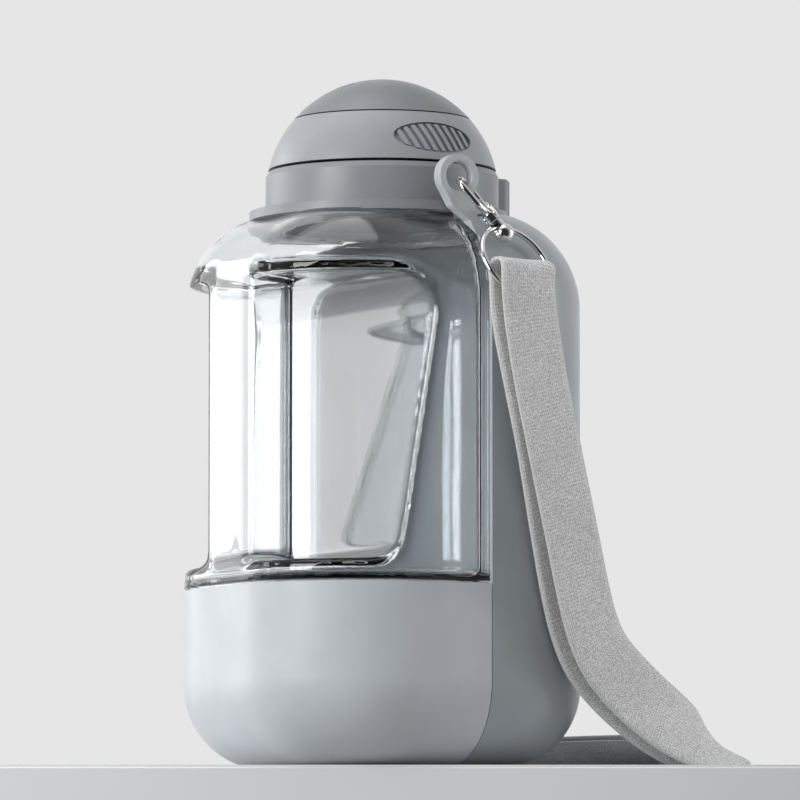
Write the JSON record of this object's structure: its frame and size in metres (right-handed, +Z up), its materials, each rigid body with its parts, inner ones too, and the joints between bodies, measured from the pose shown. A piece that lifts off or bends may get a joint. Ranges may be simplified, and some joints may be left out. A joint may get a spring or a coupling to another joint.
{
  "type": "pet travel jug",
  "caption": "Clear travel water jug with a through-handle, a food cup under it, a half-shell drinking bowl that pulls off its side, a screw lid with a domed flip cover, and a snap-hook lanyard.",
  "frame": {"origin": "centre of the jug's footprint on the table", "axes": "+Z up, +X from the handle to the drinking bowl, -Y towards the lug's side"},
  "size_m": [0.1743, 0.1662, 0.2415],
  "materials": {
    "cup_grey": "satin",
    "clear_plastic": "polished",
    "bowl_grey": "satin",
    "collar_grey": "satin",
    "dome_grey": "satin",
    "crown_grey": "satin",
    "lug_grey": "satin",
    "deck_grey": "satin",
    "seal_silicone": "matt",
    "chrome": "polished",
    "pin_steel": "brushed",
    "webbing": "woven"
  },
  "bodies": {
    "base": {"food_cup": "cup_grey", "cup_seal": "seal_silicone"},
    "tank": {"tank_shell": "clear_plastic", "neck_ring": "collar_grey"},
    "bowl": {"drink_bowl": "bowl_grey", "carry_lug": "lug_grey", "clasp_hook": "chrome", "gate_pin": "pin_steel"},
    "gate": {"clasp_gate": "chrome"},
    "lanyard": {"swivel_ball": "chrome", "split_ring": "chrome", "strap": "webbing"},
    "lid_seal": {"neck_gasket": "seal_silicone"},
    "lid": {"screw_collar": "collar_grey", "lid_deck": "deck_grey", "pour_spout": "deck_grey", "hinge_pin": "pin_steel"},
    "dome": {"dome_band": "dome_grey", "dome_liner": "deck_grey", "spout_plug": "seal_silicone"},
    "crown": {"dome_crown": "crown_grey", "crown_clip": "pin_steel"}
  },
  "joints": [
    {"name": "tank_lift", "type": "slide", "parent": "base", "child": "tank", "axis": [0, 0, 1], "range_m": [0, 0.08]},
    {"name": "bowl_slide", "type": "slide", "parent": "tank", "child": "bowl", "axis": [1, 0, 0], "range_m": [0, 0.06]},
    {"name": "gate_hinge", "type": "hinge", "parent": "bowl", "child": "gate", "pos_m": [0.01216, -0.05144, 0.19043], "axis": [0.5305, -0.5731, 0.6247], "range_deg": [0, 22], "stiffness_Nm_per_rad": 0.02, "springref_deg": -11.46},
    {"name": "lanyard_swing", "type": "hinge", "parent": "bowl", "child": "lanyard", "pos_m": [0.0149, -0.057, 0.183], "axis": [0, 0, -1], "range_deg": [0, 8]},
    {"name": "lid_lift", "type": "slide", "parent": "tank", "child": "lid_seal", "axis": [0, 0, 1], "range_m": [0, 0.006]},
    {"name": "lid_turn", "type": "hinge", "parent": "lid_seal", "child": "lid", "pos_m": [0, 0, 0.2], "axis": [0, 0, 1], "range_deg": [0, 180]},
    {"name": "dome_flip", "type": "hinge", "parent": "lid", "child": "dome", "pos_m": [0.045, 0, 0.2063], "axis": [0, 1, 0], "range_deg": [0, 100]},
    {"name": "crown_turn", "type": "hinge", "parent": "dome", "child": "crown", "pos_m": [0, 0, 0.2272], "axis": [0, 0, 1], "range_deg": [0, 90]}
  ],
  "couplings": [
    {"joint": "lid_lift", "follows": "lid_turn", "m_per_rad": 0.0019099}
  ]
}
